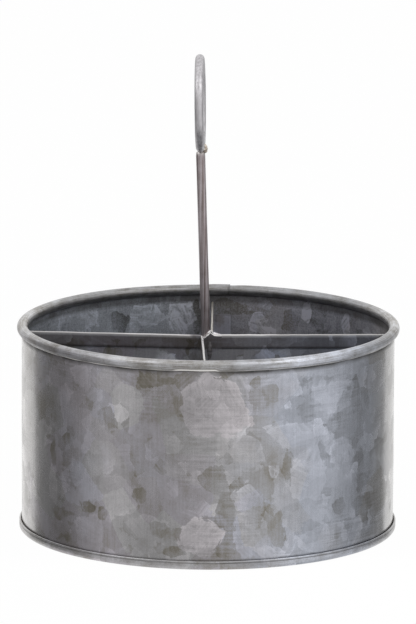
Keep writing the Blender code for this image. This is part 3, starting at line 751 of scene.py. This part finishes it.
def divider(name, material, side_azimuth, arms, hem_side, tilt_azimuth, tilt_rise, hem_height, lift, seed,
            sooty=0.0):
    """A sheet bent into an L. Its middle surface is the plan path raised to the fold, over it in a
    half circle and down again as the hem, moved by a slow wander, then thickened. sooty is the
    length of the first arm's top edge, next to the corner, that the weld has dulled."""
    hem_room = HEM_SHIFT if hem_side < 0 else 0.0
    gap = ROD_RADIUS + FIT_GAP + hem_room + HALF_SHEET + CORNER_BEND
    corner = ROD_PLACE + gap * towards(side_azimuth)
    arm_a, flange_a = arm_points(corner, arms[0], 1)
    arm_b, flange_b = arm_points(corner, arms[1], -1)
    bend = arc(corner, CORNER_BEND, arms[0] - 90.0, arms[1] - 270.0, 16)[1:-1]
    path = np.concatenate([flange_a[::-1], arm_a[::-1], bend, arm_b, flange_b])
    side = right_of(path) * hem_side

    fold = HEM_SHIFT / 2
    top = DIVIDER_TOP - HALF_SHEET - 0.3 * max(tilt_rise, 0.0)
    hem_line = DIVIDER_TOP - hem_height
    plain = np.linspace(FLOOR_TOP, hem_line - 0.003, 12)
    plain = np.concatenate([plain, np.linspace(hem_line - 0.0022, hem_line, 5)])
    rise = np.linspace(hem_line, top - fold, 5)[1:]
    turn = np.radians(np.linspace(180.0, 0.0, 9))[1:]
    hem = np.linspace(top - fold, hem_line, 6)[1:]
    height = np.concatenate([plain, rise, top - fold + fold * np.sin(turn), hem])
    offset = np.concatenate([0 * plain, 0 * rise, fold + fold * np.cos(turn), HEM_SHIFT + 0 * hem])
    down_hem = np.concatenate([0 * plain, 0 * rise, 0 * turn, np.linspace(0.2, 1.0, len(hem))])
    distance = np.cumsum(np.abs(np.diff(path, prepend=path[:1])))[:, None]
    way = distance * 2.0 * math.pi / distance[-1]
    offset = offset[None, :] + down_hem * 0.00016 * (1.0 + wander(way, 0.0, seed, 30))
    spread = ease(0.3, 1.0, height / DIVIDER_TOP)[None, :]
    near_ends = ease(0.0, 0.2, way) * ease(0.0, 0.2, 2.0 * math.pi - way)
    offset = offset + near_ends * spread * 0.00012 * wander(way, 0.0, seed + 1, 9)
    share = ((height - FLOOR_TOP) / (DIVIDER_TOP - FLOOR_TOP))[None, :]
    tilt = tilt_rise * (path / towards(tilt_azimuth)).real[:, None] / WALL_MIDDLE
    dented = spread * (0.00013 * wander(way, 0.0, seed + 2, 22) - 0.0001)
    raised = height + share * (lift + tilt) + dented
    points = standing(path[:, None] + side[:, None] * offset, raised)

    # The hem stops short of the flanges
    i, j = np.ogrid[:len(path) - 1, :len(height) - 1]
    hemmed = (i >= len(flange_a) + 6) & (i < len(path) - 1 - len(flange_b) - 6)
    kept = (j < len(plain) - 1) | hemmed
    # Next to the corner, where the weld's soot has dulled it, the top edge loses most of its painted
    # highlight.
    before_corner = distance[len(flange_a) + len(arm_a)] - distance
    bright = 1.0 - 0.9 * ((before_corner < sooty) & (before_corner > -0.004) & (sooty > 0.0))
    # edge marks the folded top, which divider_zinc paints lighter as a highlight.
    edge = np.concatenate([0 * plain, 0 * rise[:-1], (0.6,), 1.0 + 0 * turn[:-1], (0.6,), 0 * hem])
    # A painted shadow just under the hem's lower edge.
    painted_shade_and_dirt = 0.5 * ease(hem_line - 0.001, hem_line, height) * (1.0 - ease(hem_line, hem_line + 0.0004, height))
    flange = np.zeros((len(path), 1))
    flange[:len(flange_a)] = flange[-len(flange_b):] = 1.0
    marks = {"edge": edge * bright, "painted_shade_and_dirt": painted_shade_and_dirt, "hem": down_hem > 0.0, "flange": flange}
    made = skin(name, points, material, closed=(False, False), caps=False, marks=marks, kept=kept)
    sheet = made.modifiers.new("Sheet", "SOLIDIFY")
    sheet.thickness = SHEET
    sheet.offset = 0.0
    sheet.use_even_offset = True
    worn = made.modifiers.new("Worn edges", "BEVEL")
    worn.width = 0.00012
    worn.segments = 2
    worn.limit_method = "ANGLE"
    worn.angle_limit = math.radians(50.0)
    return made


def tube(name, line, across, radius, material, sides, marks=None):
    """A round skin along a line: at each point a circle at right angles to the line, measured from
    the direction across. The radius may differ from point to point."""
    along = unit(np.gradient(line, axis=0))
    across = unit(across - along * np.sum(across * along, axis=1, keepdims=True))
    third = np.cross(along, across)
    turn = np.linspace(0.0, 2.0 * math.pi, sides, endpoint=False)[None, :, None]
    ring = across[:, None, :] * np.cos(turn) + third[:, None, :] * np.sin(turn)
    return skin(name, line[:, None, :] + ring * radius[:, :, None], material, marks=marks)


def round_rod(name, line, across, radius, material, side_shade=0.0, sides=28):
    """A drawn rod along a line, slightly uneven, its ends drawn in over a small chamfer.
    side_shade is how much its two sides, at right angles to across, are darker than the rest."""
    turn = np.linspace(0.0, 2.0 * math.pi, sides, endpoint=False)[None, :]
    distance = np.cumsum(np.linalg.norm(np.diff(line, axis=0, prepend=line[:1]), axis=1))[:, None]
    from_end = np.minimum(distance, distance[-1] - distance)
    chamfer = radius * (1.0 - 0.16 * (1.0 - ease(0.0, 0.0005, from_end)))
    uneven = 1.0 + 0.010 * wander(turn, distance, 31, 4, 420.0)
    marks = {"end": 1.0 - ease(0.0003, 0.0012, from_end),
             "side": side_shade * ease(0.70, 0.97, np.abs(np.sin(turn)))}
    return tube(name, line, across, chamfer * uneven, material, sides, marks)


def rod_line():
    """The rod's middle line: upright to just above the dividers, then turned evenly into its lean."""
    low, high, chamfer = FLOOR_TOP, ROD_TOP, 0.0003
    evenly = np.linspace(low + 0.002, high - 0.002, 90)
    z = np.concatenate([(low, low + chamfer), evenly, (high - chamfer, high)])
    bend_start, bend_end = DIVIDER_TOP - ROD_BEND / 2, DIVIDER_TOP + ROD_BEND / 2
    slope = math.tan(math.radians(ROD_LEAN))
    t = np.clip((z - bend_start) / (bend_end - bend_start), 0.0, 1.0)
    lean = slope * (ROD_BEND * t * t / 2 + np.maximum(z - bend_end, 0.0))
    return standing(ROD_PLACE - lean, z)


def handle_rod(material):
    return round_rod("handle_rod_drawn", rod_line(), (1.0, 0.0, 0.0), ROD_RADIUS, material)


def handle_ring(material):
    """The ring: a rod along a circle that stands on the rod's top, open by a slit at its foot and
    drawn in by a slow wave of 0.12 mm away from the foot."""
    foot = rod_line()[-1]
    lean, turned = math.radians(RING_LEAN), math.radians(RING_TURN)
    up = np.array((-math.sin(lean), 0.0, math.cos(lean)))
    front = np.array((-math.sin(turned), -math.cos(turned), 0.0))
    front = unit(front - up * (front @ up))
    centre = foot + up * (RING_DIAMETER / 2 + FIT_GAP) + np.array((RING_SIDE, 0.0, 0.0))
    half_slit = math.radians(RING_SLIT) / 2
    a = np.linspace(half_slit, 2 * math.pi - half_slit, 180)[:, None]
    drawn_in = 0.00012 * (1.0 + np.sin(3.0 * a + 1.0)) * ease(0.1, 0.6, np.abs(np.sin(a / 2)))
    outward = -up * np.cos(a) - front * np.sin(a)
    line = centre + ((RING_DIAMETER - RING_ROD) / 2 - drawn_in) * outward
    return round_rod("handle_ring_bent", line, outward, RING_ROD / 2, material, side_shade=0.55)


def weld_bead(name, centre, size, ripples, seed, material):
    """A weld bead: a ball drawn out to its size, its surface raised by ripples along its height
    and by a random lumpiness."""
    down = np.linspace(0.0, math.pi, 44)[:, None]
    around = np.linspace(0.0, 2 * math.pi, 56, endpoint=False)[None, :]
    ball = standing(np.sin(down) * np.exp(1j * around), np.cos(down) + 0 * around)
    ripple = 0.05 * np.sin(down * ripples + 0.8 * np.sin(around)) * np.sin(down)
    lumps = 0.08 * wander(around, down, seed, 4, 4.0) * np.sin(down)
    grown = (1.0 + ripple + lumps)[:, :, None]
    return skin(name, centre + ball * grown * size / 2, material, caps=False)


def smooth_line(stations, count):
    """Points along stations in millimetres, the corners rounded by a running Hann mean."""
    stations = np.array(stations) / 1000.0
    t = np.linspace(0.0, 1.0, count)
    whole = np.linspace(0.0, 1.0, len(stations))
    line = np.stack([np.interp(t, whole, column) for column in stations.T], 1)
    window = np.hanning(13) / np.hanning(13).sum()
    return np.stack([np.convolve(np.pad(column, 6, mode="edge"), window, "valid") for column in line.T], 1)


def corner_weld_run(material, count=110):
    """The run of weld from the front arm's edge, up the rod's right side and down to the right
    arm's edge: a tube along a smooth line through its stations, its radius beaded by a sine and
    drawn in to the ends."""
    run = smooth_line(WELD_RUN, count)
    line, t = run[:, :3], np.linspace(0.0, 1.0, count)
    beaded = 1.0 + 0.10 * np.sin(t * 60.0) + 0.08 * wander(t * 2 * math.pi, 0.0, 71, 24)
    radius = run[:, 3] * beaded * np.sqrt(np.clip(np.minimum(t, 1.0 - t) / 0.03, 0.02, 1.0))
    across = np.cross(np.gradient(line, axis=0), (0.0, 0.0, 1.0))
    return tube("corner_weld_run", line, across, np.repeat(radius[:, None], 20, 1), material, 20)


def corner_closing_sheet(material):
    """The sheet between the front and right arms that closes the corner before the rod. Along its
    plan stands one outline: the front face, out under the hem, up the hem, a half circle over the
    top, whose height follows the weld, and down the back."""
    path = smooth_line(CLOSING_PLAN, 80) @ (1, 1j)
    top = np.interp(path.real, *np.array(CLOSING_TOP).T / 1000.0)[:, None]
    hem_line = DIVIDER_TOP + RIGHT_LIFT - HEM_HEIGHT
    half_fold = (HEM_SHIFT + SHEET) / 2
    rise = np.linspace(0.0, 1.0, 8)
    over = 1j * (top - half_fold) + arc(HEM_SHIFT / 2, half_fold, 0.0, 180.0, 12)[1:-1]
    outline = end_to_end((HALF_SHEET + 1j * np.linspace(FLOOR_TOP, hem_line, 16),
                          HEM_SHIFT + HALF_SHEET + 1j * (hem_line + rise * (top - half_fold - hem_line)),
                          over, 1j * (FLOOR_TOP + rise[::-1] * (top - half_fold - FLOOR_TOP)) - HALF_SHEET),
                         len(path))
    counts = (16, 8, 10, 8)
    points = standing(path[:, None] + right_of(path)[:, None] * outline.real, outline.imag)
    # The top of this sheet takes the dividers' painted highlight, its hem their darker tone.
    marks = {"hem": np.repeat((0.0, 1.0, 0.0, 0.0), counts), "edge": np.repeat((0.0, 0.0, 0.8, 0.0), counts)}
    return skin("corner_closing_sheet", points, material, marks=marks)


def make_caddy():
    zinc, dark_zinc = sheet_zinc(), divider_zinc()
    bright_weld = weld_metal("bright_weld", (0.88, 0.87, 0.88), (0.62, 0.60, 0.61), (0.24, 0.21, 0.20), 0.22)
    dull_weld = weld_metal("dull_weld", (0.17, 0.15, 0.145), (0.11, 0.098, 0.094), (0.06, 0.052, 0.048), 0.55)
    sheet_weld = weld_metal("sheet_weld", (0.30, 0.29, 0.30), (0.22, 0.21, 0.215), (0.15, 0.14, 0.14), 0.5)
    grey_weld = weld_metal("grey_weld", (0.76, 0.70, 0.63), (0.58, 0.50, 0.42), (0.30, 0.24, 0.20), 0.34)
    rod_steel = drawn_steel("drawn_rod_steel", (0.18, 0.14, 0.132), (0.56, 0.51, 0.53), 0.38)
    ring_steel = drawn_steel("drawn_ring_steel", (0.42, 0.405, 0.42), (0.68, 0.665, 0.685), 0.44, 0.7)
    belongs(drum_wall(zinc), "drum_wall")
    belongs(base_pan(zinc), "base_pan")
    back = divider("divider_right_back_sheet", dark_zinc, BACK_CORNER_SIDE, (RIGHT_ARM, BACK_ARM), -1,
                   90.0, -BACK_ARM_DROP, HEM_HEIGHT, RIGHT_LIFT, 41)
    belongs(back, "divider_right_back")
    front = divider("divider_left_front_sheet", dark_zinc, FRONT_CORNER_SIDE, (LEFT_ARM, FRONT_ARM), 1,
                    180.0, LEFT_ARM_RISE, LEFT_HEM_HEIGHT, LEFT_LIFT, 51, sooty=0.004)
    belongs(front, "divider_left_front")
    belongs(handle_rod(rod_steel), "handle_rod")
    belongs(handle_ring(ring_steel), "handle_ring")
    for node, ripples, seed, weld, shift, depth in (
        ("ring_weld", 9.0, 61, grey_weld, (-0.0002, 0.0, 0.0), 1.0),
        ("rod_weld_front", 16.0, 62, sheet_weld, (0.0, 0.00055, 0.0), 0.55),
        ("rod_weld_back", 16.0, 63, dull_weld, (0.0, 0.0, 0.0), 1.0)
    ):
        low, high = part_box(node)
        middle, size = np.add(low, high) / 2 + shift, np.subtract(high, low) * (1.0, depth, 1.0)
        belongs(weld_bead(node + "_bead", middle, size, ripples, seed, weld), node)
    rod_end = rod_line()[-1]
    closing_bead = weld_bead("ring_closing_bead", rod_end + RING_BEAD_PLACE, RING_BEAD, 8.0, 64, grey_weld)
    belongs(closing_bead)
    belongs(corner_weld_run(bright_weld))
    belongs(corner_closing_sheet(dark_zinc))
    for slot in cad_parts["rim_wire"].material_slots:
        slot.link = "OBJECT"
        slot.material = rod_steel


# Studio

def background_share(nodes):
    """1 for rays that see the background directly, in a gloss or through glass, otherwise 0."""
    path = nodes.add("LightPath")
    kinds = [path["Is " + kind + " Ray"] for kind in ("Camera", "Glossy", "Transmission")]
    return nodes.math("ADD", *kinds, use_clamp=True)


def white_surroundings():
    world = bpy.data.worlds.new("white_surroundings")
    bpy.context.scene.world = world
    nodes = Nodes(world)
    sky = nodes.tree.nodes["Background"].inputs
    nodes.give(sky["Color"], (1.0, 1.0, 1.0))
    nodes.give(sky["Strength"], nodes.range(background_share(nodes), 0.0, 1.0, SKY_LIGHT, 1.0))


def white_floor():
    material = bpy.data.materials.new("white_paper")
    nodes = Nodes(material)
    paper = nodes.add("BsdfDiffuse", {"Color": (PAPER_GREY, PAPER_GREY, PAPER_GREY)})[0]
    glow = nodes.add("Emission", {"Strength": 1.0})[0]
    share = nodes.times(background_share(nodes), FLOOR_GLOW)
    nodes.show(nodes.add("MixShader", {0: share, 1: paper, 2: glow})[0])
    corners = 6.0 * np.array(((-1 - 1j, -1 + 1j), (1 - 1j, 1 + 1j)))
    points = standing(corners, np.full((2, 2), -0.0001))
    floor = skin("floor", points, material, closed=(False, False), caps=False)


def grey_cards():
    """Cards that the metal reflects, out of the camera's sight: a flat foot on the floor and a low
    wall, open at the back. Each column stands along the line in which the drum mirrors the camera:
    from the wall's point at turn a outwards in the direction 2a, to each of the section's radii."""
    turned = np.radians(np.linspace(CARD_TONES[0][0], CARD_TONES[-1][0], 240))[:, None]
    foot = np.linspace(0.102, 0.42, 16) + 0.0005j
    section = np.concatenate([foot, arc(0.42 + 0.1005j, 0.1, -90.0, 0.0, 8), [0.52 + 0.36j]])
    inner = WALL_MIDDLE * np.cos(turned)
    away = np.sqrt(inner ** 2 + section.real ** 2 - WALL_MIDDLE ** 2) - inner
    turn = np.exp(1j * turned)
    points = standing(-1j * (WALL_MIDDLE * turn + away * turn ** 2), section.imag + 0 * turned)
    tones = np.interp(np.degrees(turned), *np.array(CARD_TONES, dtype=float).T)
    material = bpy.data.materials.new("grey_card")
    nodes = Nodes(material)
    nodes.show(nodes.add("Emission", {"Strength": nodes.mark("tone")})[0])
    cards = skin("grey_cards", points, material, closed=(False, False), caps=False, marks={"tone": tones})
    cards.visible_camera = False
    cards.visible_shadow = False


def soft_lamp(name, place, power):
    """A square lamp that faces the caddy's middle."""
    lamp = bpy.data.lights.new(name, "AREA")
    lamp.size = 0.9
    lamp.energy = power
    made = put(name, lamp)
    made.location = place
    made.rotation_euler = (Vector((0.0, 0.0, 0.08)) - Vector(place)).to_track_quat("-Z", "Y").to_euler()


def photo_camera():
    """A level camera turned down by its elevation, rolled, and swung round the upright axis."""
    data = bpy.data.cameras.new("camera")
    data.sensor_fit = "VERTICAL"
    data.sensor_height = 36.0
    data.lens = FOCAL_PIXELS * data.sensor_height / PICTURE_HEIGHT
    data.clip_start, data.clip_end = 0.1, 50.0
    camera = put("camera", data)
    back, rise = CAMERA_DISTANCE * math.cos(CAMERA_ELEVATION), CAMERA_DISTANCE * math.sin(CAMERA_ELEVATION)
    camera.matrix_world = (
        Matrix.Translation((CAMERA_SIDE, -back, AIM_HEIGHT + rise))
        @ Matrix.Rotation(-CAMERA_TURN, 4, "Z")
        @ Matrix.Rotation(math.pi / 2 - CAMERA_ELEVATION, 4, "X")
        @ Matrix.Rotation(CAMERA_ROLL, 4, "Z"))
    bpy.context.scene.camera = camera


make_caddy()
white_surroundings()
white_floor()
grey_cards()
soft_lamp("key_lamp", (0.9, -0.9, 1.3), 5.0)
soft_lamp("fill_lamp", (-1.1, -0.5, 1.2), 3.0)
photo_camera()
bpy.context.scene.view_settings.view_transform = "Standard"
